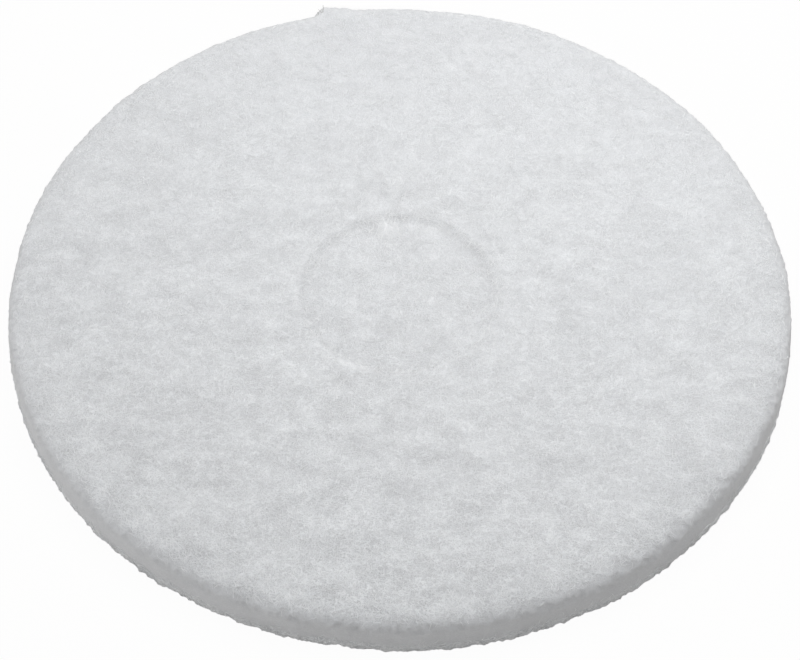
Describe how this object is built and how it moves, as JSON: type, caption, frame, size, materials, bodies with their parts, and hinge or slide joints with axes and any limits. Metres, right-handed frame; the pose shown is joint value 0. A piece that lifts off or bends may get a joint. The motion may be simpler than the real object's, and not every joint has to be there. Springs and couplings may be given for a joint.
{
  "type": "floor polishing pad",
  "caption": "Round non-woven polishing pad for a rotary floor machine, with a die-cut centre disc still held in place by short uncut nicks.",
  "frame": {"origin": "centre of the underside, on the surface that the pad lies on", "axes": "+Z is the pad's axis and points up, out of the face with the pressed ring. +X and +Y lie in the underside, and +Y points away from the picture's viewpoint."},
  "size_m": [0.33, 0.33, 0.019],
  "materials": {
    "white_web": "matt fibrous"
  },
  "bodies": {
    "root": {"polishing_pad": "white_web"}
  },
  "joints": []
}
